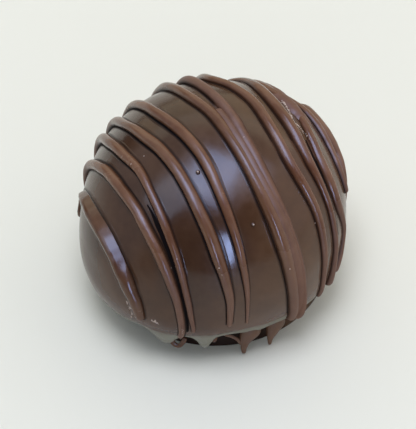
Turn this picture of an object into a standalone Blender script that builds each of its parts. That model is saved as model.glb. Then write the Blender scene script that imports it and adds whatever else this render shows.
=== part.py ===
"""Chocolate truffle: a dipped ball with thick drizzle over it, one solid piece.

Sizes are in millimetres and are turned into metres when a mesh is made.
X is right, Y is away from the photographed front, Z is up.
"""

import math

import bmesh
import bpy
from mathutils import Vector

MM = 0.001

# Coating, from its widest level up to the crown and down to the rim
HALF_WIDTH = 17.9
CROWN_HEIGHT = 16.35
BELLY_LEVEL = 11.4
SKIRT_REACH = 12.5
SKIRT_POWER = 3.0

# Rim that rolls under, and the foot it stands on, which spread a little on the table
RIM_LEVEL = 4.5
RIM_ROLL_IN = 1.3
RIM_ROLL_DOWN = 0.7
ROOF_LEVEL = 3.9
FOOT_TOP_RADIUS = 14.6
FOOT_RADIUS = 15.6

# Low swellings where the coating slumped: all round, then on some sides (less than 0 is flatter)
SKIRT_SWELL = 0.013
# share of the radius, compass angle, sharpness
SLUMPS = ((0.117, -138.0, 3), (0.017, -36.0, 3), (-0.018, 172.0, 3), (-0.022, 5.0, 3))
SLUMP_START = 20.6
SLUMP_FULL = 5.4

# Slight unevenness of the dipped surface: size, turns round the axis, waves up it, phase
RIPPLES = ((0.10, 3, 0.9, 0.4), (0.07, 5, 1.7, 2.1), (0.05, 7, 2.6, 4.0))

SEGMENTS = 64
RINGS = 36

# Shares of the way from the crown to the underside at which the ball's rings change their job
CROWN_END = 0.46
SKIRT_END = 0.68
ROLL_END = 0.78
ROOF_END = 0.86
FOOT_END = 0.92

# Drizzle strands all run the same way, in upright planes
STRAND_RUN = math.radians(-58.5)
STRAND_CENTRE_LEVEL = 9.0
STRAND_POINTS = 28

# Angles up from level, at the front end, at which a strand's sideways offsets are given
STATIONS = (-15, 10, 35, 60, 80, 95, 110, 125, 145, 180)

# name: front end angle, back end angle, sink share at the front and at the back, sideways offsets,
# half widths
STRANDS = {
    "second": (-17, 190, -0.2, -0.3,
        (-13.55, -13.66, -13.83, -13.94, -13.88, -13.84, -13.68, -13.48, -12.88, -12.3),
        (0.42, 0.55, 0.76, 0.79, 0.78, 0.78, 0.77, 0.72, 0.67, 0.55)),
    "third": (-9, 188, -0.2, -0.3,
        (-12.16, -12.5, -12.41, -11.99, -11.64, -11.21, -11.24, -10.85, -9.75, -9.4),
        (0.22, 0.39, 0.48, 0.52, 0.57, 0.65, 0.71, 0.74, 0.76, 0.55)),
    "fourth": (-5, 190, -0.2, -0.32,
        (-8.01, -7.79, -7.99, -7.94, -7.76, -7.86, -8.15, -8.07, -7.17, -7),
        (0.32, 0.5, 0.82, 0.83, 0.78, 0.81, 0.75, 0.67, 0.72, 0.55)),
    "fifth": (-6, 189, -0.2, -0.32,
        (-5.61, -5.56, -5.27, -4.76, -4.2, -4.38, -4.77, -4.59, -4.12, -4.3),
        (0.1, 0.29, 0.55, 0.65, 0.75, 0.8, 0.79, 0.73, 0.62, 0.55)),
    "band left": (-17, 188, -0.1, -0.25,
        (1.54, 0.95, 0.53, 0.31, 0.44, 0.58, 0.23, 0.34, 0.86, 0.4),
        (0.81, 0.85, 0.99, 0.84, 0.79, 0.8, 0.79, 0.79, 0.85, 0.55)),
    "band right": (-16, 190, -0.1, -0.25,
        (2.24, 2.58, 2.24, 1.79, 2.11, 2.66, 2.85, 3.2, 4.05, 3.8),
        (1.15, 0.53, 0.49, 0.68, 0.78, 0.76, 0.71, 0.77, 0.85, 0.55)),
    "sixth": (-15, 189, -0.2, -0.28,
        (6.41, 6.8, 7.17, 6.27, 6.54, 6.95, 6.46, 5.61, 6.42, 6.3),
        (0.39, 0.46, 0.62, 0.76, 0.77, 0.74, 0.65, 0.68, 0.85, 0.55)),
    "seventh": (-13, 190, -0.2, -0.28,
        (8.19, 9.36, 9.74, 9.34, 9.61, 9.78, 10.17, 10.52, 9.7, 9.4),
        (0.64, 0.48, 0.5, 0.72, 0.9, 0.87, 0.76, 0.64, 0.47, 0.55)),
    "eighth": (-12, 189, 0, 0.05,
        (9.66, 12.39, 12.18, 12.05, 12.62, 12.8, 12.1, 12.07, 11.45, 11),
        (0.62, 0.38, 0.42, 0.54, 0.66, 0.64, 0.74, 0.98, 0.85, 0.55)),
    "ninth": (29, 188, -0.2, -0.25,
        (15.78, 15.46, 14.92, 15.13, 15.38, 15.19, 14.91, 14.27, 13.92, 14),
        (0.27, 0.36, 0.46, 0.56, 0.64, 0.63, 0.45, 0.45, 0.45, 0.55)),
    "far right": (22, 187, -0.2, -0.3,
        (14.98, 15.58, 16.14, 16.65, 16.34, 16.16, 16.16, 16.24, 15.87, 15.6),
        (0.6, 0.66, 0.67, 0.82, 1.01, 0.96, 0.97, 0.83, 0.69, 0.55)),
    "band fill": (-14, 88, 0.45, 0.45,
        (1.7, 1.75, 1.35, 1.0, 1.25, 1.5, 1.5, 1.5, 1.5, 1.5),
        (1.25, 1.1, 1.15, 1.0, 0.85, 0.6, 0.5, 0.5, 0.5, 0.5)),
}

# A strand goes from its front sink to its back sink over these angles
SINK_START = -10.0
SINK_RUN = 70.0

# The strand at the far left only clips the side and folds over: compass angle, level, half width
FAR_LEFT = (
    (-120.4, 7.4, 0.62), (-121.0, 8.4, 0.78), (-122.0, 9.6, 0.88), (-123.9, 10.9, 1.00),
    (-126.3, 12.0, 1.10), (-129.2, 13.15, 1.18), (-132.5, 14.05, 1.18), (-137.1, 15.1, 1.15),
    (-142.7, 15.9, 1.18), (-149.8, 16.4, 1.22), (-158.4, 16.4, 1.22), (-168.5, 15.7, 1.08),
    (-175.5, 14.6, 0.90), (-181.5, 13.0, 0.66), (-182.6, 11.9, 0.52), (-181.6, 10.8, 0.54),
    (-180.5, 9.9, 0.62), (-180.3, 9.0, 0.62),
)
FAR_LEFT_SINK = 0.1

# Drips under the front rim: compass angle, base half width, tip half width, tip level, outward hang
DRIPS = (
    (-111.5, 2.5, 1.10, 3.0, 0.4),
    (-95.0, 2.3, 0.80, 2.4, 0.3),
    (-76.5, 2.2, 0.34, 0.5, 0.4),
    (-63.8, 1.8, 0.32, 0.6, 0.4),
)
DRIP_POINTS = 7

# Points nearer than this are made one, in metres
WELD = 0.00001


def smooth(share):
    """Ease a share from 0 to 1."""
    share = min(max(share, 0.0), 1.0)
    return share * share * (3.0 - 2.0 * share)


def side_share(level):
    """Share of the full radius at a level between the rim and the crown."""
    if level >= BELLY_LEVEL:
        rise = min((level - BELLY_LEVEL) / CROWN_HEIGHT, 1.0)
        return math.sqrt(1.0 - rise * rise)
    drop = min((BELLY_LEVEL - level) / SKIRT_REACH, 1.0)
    return (1.0 - drop ** SKIRT_POWER) ** (1.0 / SKIRT_POWER)


def plan_share(turn, level):
    """How far the outline swells at a compass angle and level."""
    low = smooth((SLUMP_START - level) / (SLUMP_START - SLUMP_FULL))
    share = 1.0 + SKIRT_SWELL * low
    for size, angle, sharpness in SLUMPS:
        facing = max(math.cos(turn - math.radians(angle)), 0.0)
        share += size * low * facing ** sharpness
    return share


def ripple(turn, level):
    """Unevenness in millimetres, fading towards the crown."""
    height = level / (BELLY_LEVEL + CROWN_HEIGHT)
    fade = side_share(max(level, RIM_LEVEL))
    total = 0.0
    for size, turns, waves, phase in RIPPLES:
        total += size * math.sin(turns * turn + waves * math.tau * height + phase)
    return total * fade


def shell_radius(turn, level):
    """Radius of the coating at a compass angle and level."""
    return HALF_WIDTH * side_share(level) * plan_share(turn, level) + ripple(turn, level)


def ring_station(share):
    """Radius share, level and blend to the round foot for one ring, crown to underside."""
    if share <= CROWN_END:
        angle = share / CROWN_END * math.pi / 2.0
        return math.sin(angle), BELLY_LEVEL + CROWN_HEIGHT * math.cos(angle), None
    if share <= SKIRT_END:
        down = (share - CROWN_END) / (SKIRT_END - CROWN_END)
        level = BELLY_LEVEL + (RIM_LEVEL - BELLY_LEVEL) * down
        return side_share(level), level, None
    if share <= ROLL_END:
        angle = (share - SKIRT_END) / (ROLL_END - SKIRT_END) * math.pi / 2.0
        inward = RIM_ROLL_IN * (1.0 - math.cos(angle)) / HALF_WIDTH
        level = RIM_LEVEL - RIM_ROLL_DOWN * math.sin(angle)
        return side_share(RIM_LEVEL) - inward, level, None
    if share <= ROOF_END:
        blend = (share - ROLL_END) / (ROOF_END - ROLL_END)
        rim_share = side_share(RIM_LEVEL) - RIM_ROLL_IN / HALF_WIDTH
        rim_level = RIM_LEVEL - RIM_ROLL_DOWN
        return rim_share, rim_level + (ROOF_LEVEL - rim_level) * blend, blend
    if share <= FOOT_END:
        down = (share - ROOF_END) / (FOOT_END - ROOF_END)
        radius = FOOT_TOP_RADIUS + (FOOT_RADIUS - FOOT_TOP_RADIUS) * down
        return None, ROOF_LEVEL * (1.0 - down), radius
    inward = (share - FOOT_END) / (1.0 - FOOT_END)
    return None, 0.0, FOOT_RADIUS * (1.0 - inward)


def shell_point(turn, share):
    """Point of the whole closed coating surface in millimetres."""
    radius_share, level, extra = ring_station(share)
    if radius_share is None:
        radius = extra
    else:
        rim_level = max(level, RIM_LEVEL - RIM_ROLL_DOWN)
        radius = HALF_WIDTH * radius_share * plan_share(turn, rim_level)
        radius += ripple(turn, rim_level) * radius_share
        if extra is not None:
            radius += (FOOT_TOP_RADIUS - radius) * extra
    return Vector((radius * math.cos(turn), radius * math.sin(turn), level))


def make_material(name, colour, roughness, coat):
    material = bpy.data.materials.new(name)
    material.use_nodes = True
    surface = material.node_tree.nodes["Principled BSDF"]
    surface.inputs["Base Color"].default_value = (*colour, 1.0)
    surface.inputs["Roughness"].default_value = roughness
    surface.inputs["Coat Weight"].default_value = coat
    return material


def make_shell(collection):
    """Coating: a sphere whose rings are moved to the dipped form."""
    mesh = bpy.data.meshes.new("truffle")
    body = bmesh.new()
    bmesh.ops.create_uvsphere(body, u_segments=SEGMENTS, v_segments=RINGS, radius=1.0)
    for vertex in body.verts:
        x, y, z = vertex.co
        share = math.acos(min(max(z, -1.0), 1.0)) / math.pi
        turn = math.atan2(y, x)
        vertex.co = shell_point(turn, share) * MM
    body.to_mesh(mesh)
    body.free()
    shell = bpy.data.objects.new("truffle", mesh)
    collection.objects.link(shell)
    return shell


def station_slope(index, values):
    """Slope of the smooth curve at a station."""
    if index == 0:
        return (values[1] - values[0]) / (STATIONS[1] - STATIONS[0])
    if index == len(STATIONS) - 1:
        return (values[-1] - values[-2]) / (STATIONS[-1] - STATIONS[-2])
    before = STATIONS[index] - STATIONS[index - 1]
    after = STATIONS[index + 1] - STATIONS[index]
    total = before * before * values[index + 1] - after * after * values[index - 1]
    total += (after * after - before * before) * values[index]
    return total / (before * after * (before + after))


def station_value(angle, values):
    """Value at an angle, on a smooth curve through the measured stations."""
    angle = min(max(angle, STATIONS[0]), STATIONS[-1])
    index = 0
    while angle > STATIONS[index + 1]:
        index += 1
    step = STATIONS[index + 1] - STATIONS[index]
    share = (angle - STATIONS[index]) / step
    blend = smooth(share)
    value = values[index] * (1.0 - blend) + values[index + 1] * blend
    value += station_slope(index, values) * step * share * (1.0 - share) ** 2
    value -= station_slope(index + 1, values) * step * share ** 2 * (1.0 - share)
    return value


def plane_point(angle, offset, reach):
    """Point in a strand's upright plane, at a reach from the level it fans out from."""
    along = reach * math.cos(angle)
    x = along * math.cos(STRAND_RUN) - offset * math.sin(STRAND_RUN)
    y = along * math.sin(STRAND_RUN) + offset * math.cos(STRAND_RUN)
    return Vector((x, y, STRAND_CENTRE_LEVEL + reach * math.sin(angle)))


def outside(point):
    """True where a point is outside the coating."""
    if point.z >= BELLY_LEVEL + CROWN_HEIGHT:
        return True
    level = max(point.z, RIM_LEVEL - RIM_ROLL_DOWN)
    turn = math.atan2(point.y, point.x)
    return math.hypot(point.x, point.y) > shell_radius(turn, level)


def surface_reach(angle, offset):
    """Reach at which a strand's plane ray leaves the coating, by halving."""
    near = 0.0
    far = 40.0
    for _ in range(40):
        middle = (near + far) / 2.0
        if outside(plane_point(angle, offset, middle)):
            far = middle
        else:
            near = middle
    return near


def strand_points(strand):
    """Centre points and half widths of a strand lying on the coating."""
    front, back, sink_front, sink_back, offsets, widths = strand
    result = []
    for index in range(STRAND_POINTS):
        degrees = front + (back - front) * index / (STRAND_POINTS - 1)
        angle = math.radians(degrees)
        half_width = station_value(degrees, widths)
        offset = station_value(degrees, offsets)
        reach = surface_reach(angle, offset)
        point = plane_point(angle, offset, reach)
        sink = sink_front + (sink_back - sink_front) * smooth((degrees - SINK_START) / SINK_RUN)
        result.append((inward_point(point, half_width * sink), half_width))
    return result


def far_left_points():
    """Centre points and half widths of the strand that folds over at the far left."""
    result = []
    for compass, level, half_width in FAR_LEFT:
        turn = math.radians(compass)
        radius = shell_radius(turn, level)
        point = Vector((radius * math.cos(turn), radius * math.sin(turn), level))
        result.append((inward_point(point, half_width * FAR_LEFT_SINK), half_width))
    return result


def inward_point(point, depth):
    """Point moved into the coating, square to its surface."""
    turn = math.atan2(point.y, point.x)
    if point.z > BELLY_LEVEL:
        rise = (point.z - BELLY_LEVEL) * (HALF_WIDTH / CROWN_HEIGHT) ** 2
    else:
        drop = (BELLY_LEVEL - point.z) / SKIRT_REACH
        rise = -HALF_WIDTH * drop ** (SKIRT_POWER - 1.0)
    flat = math.hypot(point.x, point.y)
    normal = Vector((flat * math.cos(turn), flat * math.sin(turn), rise))
    return point - normal.normalized() * depth


def make_tube(name, points, collection):
    """Round tube through points whose half width changes along it."""
    curve = bpy.data.curves.new(name, "CURVE")
    curve.dimensions = "3D"
    curve.bevel_depth = MM
    curve.bevel_resolution = 2
    curve.use_fill_caps = True
    line = curve.splines.new("POLY")
    line.points.add(len(points) - 1)
    for item, (point, half_width) in zip(line.points, points):
        item.co = (*(point * MM), 1.0)
        item.radius = half_width
    holder = bpy.data.objects.new(name, curve)
    collection.objects.link(holder)
    bpy.context.view_layer.update()
    seen = bpy.context.evaluated_depsgraph_get()
    mesh = bpy.data.meshes.new_from_object(holder.evaluated_get(seen))
    bpy.data.objects.remove(holder)
    body = bmesh.new()
    body.from_mesh(mesh)
    bmesh.ops.remove_doubles(body, verts=body.verts, dist=WELD)
    bmesh.ops.recalc_face_normals(body, faces=body.faces)
    body.to_mesh(mesh)
    body.free()
    tube = bpy.data.objects.new(name, mesh)
    collection.objects.link(tube)
    return tube


def drip_points(drip):
    """Points of a drip that leaves the rim and hangs straight down."""
    compass, base, tip, tip_level, hang = drip
    turn = math.radians(compass)
    edge = shell_radius(turn, RIM_LEVEL)
    start = Vector((edge - base + hang * 0.5, 0.0, RIM_LEVEL + 1.8))
    end = Vector((edge - tip + hang, 0.0, tip_level))
    result = []
    for index in range(DRIP_POINTS):
        share = index / (DRIP_POINTS - 1)
        bow = smooth(share)
        radius = start.x + (end.x - start.x) * bow
        level = start.z + (end.z - start.z) * share
        half_width = base + (tip - base) * bow
        point = Vector((radius * math.cos(turn), radius * math.sin(turn), level))
        result.append((point, half_width))
    return result


def join_all(shell, collection):
    """Fuse the strands and drips to the coating as one solid."""
    union = shell.modifiers.new("fuse", "BOOLEAN")
    union.operation = "UNION"
    union.operand_type = "COLLECTION"
    union.collection = collection
    union.solver = "EXACT"
    bpy.context.view_layer.objects.active = shell
    shell.select_set(True)
    bpy.ops.object.modifier_apply(modifier=union.name)
    for tool in list(collection.objects):
        bpy.data.objects.remove(tool)
    bpy.data.collections.remove(collection)


def tidy_solid(shell):
    """Weld slivers, drop loose scraps and stand the piece on its origin."""
    body = bmesh.new()
    body.from_mesh(shell.data)
    keep_largest(body)
    bmesh.ops.remove_doubles(body, verts=body.verts, dist=WELD)
    bmesh.ops.dissolve_degenerate(body, edges=body.edges, dist=WELD)
    bmesh.ops.triangulate(body, faces=body.faces)
    keep_largest(body)
    low = Vector([min(vertex.co[axis] for vertex in body.verts) for axis in range(3)])
    high = Vector([max(vertex.co[axis] for vertex in body.verts) for axis in range(3)])
    shift = Vector((-(low.x + high.x) / 2.0, -(low.y + high.y) / 2.0, -low.z))
    bmesh.ops.translate(body, verts=body.verts, vec=shift)
    bmesh.ops.recalc_face_normals(body, faces=body.faces)
    body.to_mesh(shell.data)
    body.free()


def keep_largest(body):
    """Drop every set of faces that isn't joined to the largest by an edge of two faces."""
    left = set(body.faces)
    groups = []
    while left:
        stack = [left.pop()]
        group = []
        while stack:
            face = stack.pop()
            group.append(face)
            for edge in face.edges:
                if len(edge.link_faces) != 2:
                    continue
                for other in edge.link_faces:
                    if other in left:
                        left.remove(other)
                        stack.append(other)
        groups.append(group)
    groups.sort(key=len)
    print("bodies of faces", [len(group) for group in groups])
    for group in groups[:-1]:
        bmesh.ops.delete(body, geom=group, context="FACES")
    open_edges = [edge for edge in body.edges if len(edge.link_faces) != 2]
    print("edges without two faces", len(open_edges))


def main():
    for item in list(bpy.data.objects):
        bpy.data.objects.remove(item)
    parts = bpy.data.collections.new("chocolate truffle")
    tools = bpy.data.collections.new("drizzle to fuse")
    bpy.context.scene.collection.children.link(parts)
    bpy.context.scene.collection.children.link(tools)
    shell = make_shell(parts)
    make_tube("far left", far_left_points(), tools)
    for name, strand in STRANDS.items():
        make_tube(name, strand_points(strand), tools)
    for index, drip in enumerate(DRIPS):
        make_tube(f"drip {index + 1}", drip_points(drip), tools)
    join_all(shell, tools)
    tidy_solid(shell)
    shell.data.materials.clear()
    shell.data.materials.append(make_material("chocolate", (0.085, 0.050, 0.032), 0.35, 0.4))
    shell.data.shade_smooth()
    shell.data.set_sharp_from_angle(angle=math.radians(32.0))
    faces = len(shell.data.polygons)
    size = [round(value / MM, 2) for value in shell.dimensions]
    print("truffle faces", faces, "size in millimetres", size)


main()
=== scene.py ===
# %% [markdown]
# # Chocolate truffle
# A ball of filling has been dipped in melted chocolate, set down, and crossed with thick drizzle.
# The looks are built around the solid model of the truffle, which is loaded first. The scene is in
# metres, X to the right, Y away from the camera, Z up. Sizes in the tables are in millimetres.

import math

import bpy
import numpy as np
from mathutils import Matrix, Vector, noise


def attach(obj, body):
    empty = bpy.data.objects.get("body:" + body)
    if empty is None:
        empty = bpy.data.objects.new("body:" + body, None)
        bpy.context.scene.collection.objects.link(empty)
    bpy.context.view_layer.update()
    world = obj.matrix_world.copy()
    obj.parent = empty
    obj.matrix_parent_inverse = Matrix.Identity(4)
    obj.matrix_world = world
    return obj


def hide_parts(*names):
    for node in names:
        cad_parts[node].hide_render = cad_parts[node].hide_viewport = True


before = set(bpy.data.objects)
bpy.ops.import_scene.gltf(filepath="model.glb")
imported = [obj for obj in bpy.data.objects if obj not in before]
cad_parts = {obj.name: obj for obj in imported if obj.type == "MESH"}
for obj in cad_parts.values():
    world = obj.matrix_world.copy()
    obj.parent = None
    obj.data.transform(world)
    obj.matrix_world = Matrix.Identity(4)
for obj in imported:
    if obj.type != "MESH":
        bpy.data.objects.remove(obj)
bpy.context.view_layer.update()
MM = 0.001

# %% [markdown]
# The flat foot under the truffle is a circle, and its middle is the axis that the dipped ball was
# turned about. The solid's origin is the middle of its box instead, so the axis is read from the
# lowest points of the solid, and every new point is placed from it.

# %% Find the axis of the dipped ball
foot_points = np.array([v.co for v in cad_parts["truffle"].data.vertices])
foot_points = foot_points[foot_points[:, 2] < 0.02 * MM]
AXIS = (foot_points.min(0) + foot_points.max(0)) / 2
AXIS[2] = 0.0
print("axis in mm", (AXIS / MM).round(3))

# %% [markdown]
# ## The form of the dipped ball
# A dipped truffle is nearly an ellipsoid above its widest level. Below it the coating has slumped,
# so the side stays steep and then rolls under. The form is a formula here, because the coating, the
# strands that lie on it and the drips all have to agree on where the surface is.

# %% Sizes of the coating, in millimetres
HALF_WIDTH = 17.9
CROWN_HEIGHT = 16.35
BELLY_LEVEL = 11.4
SKIRT_REACH = 12.5
SKIRT_POWER = 3.0
RIM_LEVEL = 4.5
RIM_ROLL_IN = 1.3
RIM_ROLL_DOWN = 0.7
ROOF_LEVEL = 3.9
FOOT_TOP_RADIUS = 14.6
FOOT_RADIUS = 15.6
SKIRT_SWELL = 0.013
SLUMPS = ((0.117, -138.0, 3), (0.017, -36.0, 3), (-0.018, 172.0, 3), (-0.022, 5.0, 3))
SLUMP_START = 20.6
SLUMP_FULL = 5.4
RIPPLES = ((0.10, 3, 0.9, 0.4), (0.07, 5, 1.7, 2.1), (0.05, 7, 2.6, 4.0))
CROWN_LEVEL = BELLY_LEVEL + CROWN_HEIGHT


def smooth(share):
    """Ease a share from 0 to 1."""
    share = np.clip(share, 0.0, 1.0)
    return share * share * (3.0 - 2.0 * share)


def side_share(level):
    """Share of the full radius at a level."""
    rise = np.clip((level - BELLY_LEVEL) / CROWN_HEIGHT, 0.0, 1.0)
    drop = np.clip((BELLY_LEVEL - level) / SKIRT_REACH, 0.0, 1.0)
    return np.sqrt(1.0 - rise**2) * (1.0 - drop**SKIRT_POWER) ** (1.0 / SKIRT_POWER)


def plan_share(turn, level):
    """How far the outline swells at a compass angle and level."""
    low = smooth((SLUMP_START - level) / (SLUMP_START - SLUMP_FULL))
    share = 1.0 + SKIRT_SWELL * low
    for size, angle, sharpness in SLUMPS:
        facing = np.clip(np.cos(turn - math.radians(angle)), 0.0, None)
        share = share + size * low * facing**sharpness
    return share


def ripple(turn, level):
    """Unevenness of the dipped surface, fading towards the crown."""
    total = 0.0
    for size, turns, waves, phase in RIPPLES:
        total = total + size * np.sin(turns * turn + waves * math.tau * level / CROWN_LEVEL + phase)
    return total * side_share(np.maximum(level, RIM_LEVEL))


def shell_radius(turn, level):
    """Radius of the coating at a compass angle and level."""
    return HALF_WIDTH * side_share(level) * plan_share(turn, level) + ripple(turn, level)


belly_radius = float(shell_radius(0.0, BELLY_LEVEL))
print("crown level", CROWN_LEVEL, "radius at the belly", round(belly_radius, 2))

# %% [markdown]
# ## Coating
# Starting from a UV sphere gives a closed surface with rings that can be moved one by one. The
# rings above the widest level make the crown, the next ones the steep side, and the last ones roll
# under to the foot. The columns are bunched towards the front, where the drips need finer faces.

# %% Rings of the sphere as stations on the truffle's side
CROWN_END = 0.44
SKIRT_END = 0.62
ROLL_END = 0.76
ROOF_END = 0.88
FOOT_END = 0.93


def ring_stations(share):
    """Radius, as a share and as a fixed part, and level for rings from the crown to the underside."""
    rim_share = side_share(np.array(RIM_LEVEL))
    rolled_share = rim_share - RIM_ROLL_IN / HALF_WIDTH
    rolled_level = RIM_LEVEL - RIM_ROLL_DOWN
    crown = np.clip(share / CROWN_END, 0.0, 1.0) * math.pi / 2
    skirt = np.clip((share - CROWN_END) / (SKIRT_END - CROWN_END), 0.0, 1.0)
    roll = np.clip((share - SKIRT_END) / (ROLL_END - SKIRT_END), 0.0, 1.0) * math.pi / 2
    roof = np.clip((share - ROLL_END) / (ROOF_END - ROLL_END), 0.0, 1.0)
    foot = np.clip((share - ROOF_END) / (FOOT_END - ROOF_END), 0.0, 1.0)
    under = np.clip((share - FOOT_END) / (1.0 - FOOT_END), 0.0, 1.0)
    level = BELLY_LEVEL + CROWN_HEIGHT * np.cos(crown)
    level = np.where(share > CROWN_END, BELLY_LEVEL + (RIM_LEVEL - BELLY_LEVEL) * skirt, level)
    level = np.where(share > SKIRT_END, RIM_LEVEL - RIM_ROLL_DOWN * np.sin(roll), level)
    level = np.where(share > ROLL_END, rolled_level + (ROOF_LEVEL - rolled_level) * roof, level)
    level = np.where(share > ROOF_END, ROOF_LEVEL * (1.0 - foot), level)
    radius = np.where(share > CROWN_END, side_share(level), np.sin(crown))
    rolled = rim_share - RIM_ROLL_IN * (1.0 - np.cos(roll)) / HALF_WIDTH
    radius = np.where(share > SKIRT_END, rolled, radius)
    radius = np.where(share > ROLL_END, rolled_share, radius)
    fixed = FOOT_TOP_RADIUS + (FOOT_RADIUS - FOOT_TOP_RADIUS) * foot
    fixed = np.where(share > FOOT_END, FOOT_RADIUS * (1.0 - under), fixed)
    return radius, level, fixed, roof


# %% [markdown]
# The rim did not stay level: at some places it has run on down towards the table in blunt lobes, and
# between them it has drawn up. A table of depths round the front, read off, with a smooth
# curve through it, follows that better than any formula.

# %% How far the rim has run down
# compass angle and depth in mm, none outside the table
RIM_RUN = np.array((
    (-133, 0.0), (-127, -0.55), (-121, -0.5), (-118, 0.26), (-114, 1.55), (-112, 1.92),
    (-110, 1.73), (-108, 0.98), (-106, 0.13), (-104, -0.55), (-102, -0.6), (-100, -0.36),
    (-98, 0.5), (-96, 1.78), (-94, 1.98), (-92, 1.04), (-90, -0.23), (-88, -0.6),
    (-80, -0.6), (-76, -0.21), (-74, 0.05), (-70, 0.32), (-64, 0.15), (-56, 0.25), (-46, 0.0),
))
# outward share of the depth, height over the rim where the pull starts, its share at the rim's
# edge, and how soon it ends on the roof behind
RUN_HANG = 0.22
RUN_START = 1.8
EDGE_PULL = 0.45
ROOF_PULL_END = 1.6
COLUMN_BUNCH = 0.62
FRONT_TURN = math.radians(-90.0)


def curve_values(place, stations, values):
    """Values on a smooth curve through those at the stations."""
    values = np.array(values, float)
    slopes = np.gradient(values, stations)
    place = np.clip(place, stations[0], stations[-1])
    index = np.clip(np.searchsorted(stations, place, side="right") - 1, 0, len(stations) - 2)
    step = stations[index + 1] - stations[index]
    share = (place - stations[index]) / step
    start, end = values[index], values[index + 1]
    return (
        start * (2 * share**3 - 3 * share**2 + 1)
        + slopes[index] * step * (share**3 - 2 * share**2 + share)
        + end * (3 * share**2 - 2 * share**3)
        + slopes[index + 1] * step * (share**3 - share**2)
    )


def run_depth(turn):
    """How far the rim has run down at a compass angle."""
    from_front = (turn - FRONT_TURN + math.pi) % math.tau - math.pi
    return curve_values(np.degrees(from_front) - 90.0, RIM_RUN[:, 0], RIM_RUN[:, 1])


def bunch_columns(turn):
    """Crowd the columns towards the front."""
    from_front = (turn - FRONT_TURN + math.pi) % math.tau - math.pi
    return FRONT_TURN + from_front - COLUMN_BUNCH * np.sin(from_front)


def coating_points(turn, share):
    """Points of the coating for compass angles and ring shares."""
    radius, level, fixed, roof = ring_stations(share)
    turn = bunch_columns(turn)
    rim_level = np.maximum(level, RIM_LEVEL - RIM_ROLL_DOWN)
    free = HALF_WIDTH * radius * plan_share(turn, rim_level) + ripple(turn, rim_level) * radius
    reach = free + (fixed - free) * roof
    reach = np.where(share > ROOF_END, fixed, reach)
    above_rim = smooth((RIM_LEVEL + RUN_START - level) / RUN_START)
    rolling = np.clip((share - SKIRT_END) / (ROLL_END - SKIRT_END), 0.0, 1.0)
    rolled_pull = EDGE_PULL + (1.0 - EDGE_PULL) * smooth(rolling)
    pull = np.where(share <= SKIRT_END, EDGE_PULL * above_rim, rolled_pull)
    pull = np.where(share > ROLL_END, smooth(1.0 - roof * ROOF_PULL_END), pull)
    pull = np.where(share > ROOF_END, 0.0, pull)
    depth = run_depth(turn)
    level = level - depth * pull
    reach = reach + depth * pull * RUN_HANG
    return np.stack([reach * np.cos(turn), reach * np.sin(turn), level], axis=-1)


# %% Helpers for pieces and their points
def finish_piece(piece, name):
    """Name a piece, smooth it, tie it to the truffle's body, and hide the solid that it stands in
    for.
    """
    piece.name = name
    piece.data.name = name
    bpy.ops.object.select_all(action="DESELECT")
    piece.select_set(True)
    bpy.context.view_layer.objects.active = piece
    bpy.ops.object.transform_apply(location=True, rotation=True, scale=True)
    bpy.ops.object.shade_smooth()
    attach(piece, "root")
    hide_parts("truffle")
    return piece


def read_points(piece):
    points = np.zeros(len(piece.data.vertices) * 3)
    piece.data.vertices.foreach_get("co", points)
    return points.reshape(-1, 3)


def write_points(piece, points):
    piece.data.vertices.foreach_set("co", points.ravel())
    piece.data.update()


def add_marks(piece, name, values):
    """Keep a value for every point of a piece, for the materials."""
    piece.data.attributes.new(name, "FLOAT", "POINT").data.foreach_set("value", values)


# %% [markdown]
# The coating is one sphere whose points are all moved at once. Under the rim little light comes in,
# most of all at the front, where the truffle leans over the table. A "painted_shade" value keeps
# that for the material, which paints the shade in as near black.

# %% Make the coating
COATING_COLUMNS = 380
COATING_RINGS = 230
SHADE_ALL_ROUND = 0.25
SHADE_AT_FRONT = 0.55
SHADE_LEAD = 0.02
SHADE_FADE = 0.03
FACING_FROM = 0.2
FACING_FADE = 0.5

bpy.ops.object.select_all(action="DESELECT")
bpy.ops.mesh.primitive_uv_sphere_add(segments=COATING_COLUMNS, ring_count=COATING_RINGS, radius=1.0)
coating = bpy.context.object
unit = read_points(coating)
ring_share = np.arccos(np.clip(unit[:, 2], -1.0, 1.0)) / math.pi
compass = np.arctan2(unit[:, 1], unit[:, 0])
write_points(coating, coating_points(compass, ring_share) * MM + AXIS)
# painted shade under the rim, strongest at the front where the truffle leans over the table
under_rim = smooth((ring_share - ROLL_END + SHADE_LEAD) / SHADE_FADE)
facing = smooth((np.cos(compass - FRONT_TURN) - FACING_FROM) / FACING_FADE)
add_marks(coating, "painted_shade", under_rim * (SHADE_ALL_ROUND + SHADE_AT_FRONT * facing))
finish_piece(coating, "coating")
print("coating faces", len(coating.data.polygons))

# %% [markdown]
# ## Drizzle
# The strands were swung across in one direction, so each lies in an upright plane and all the
# planes run the same way. A strand's path is the cut of its plane through the coating, and its half
# width is given at a few places along it, as measured. A curve with a round bevel would be
# quick, but it gives a rope that lies on the coating and not a bead that set on it.

# %% Where the strands run
STRAND_RUN = math.radians(-58.5)
STRAND_CENTRE_LEVEL = 9.0
STATIONS = np.array((-15, 10, 35, 60, 80, 95, 110, 125, 145, 180), float)
STRAND_POINTS = 170
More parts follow.
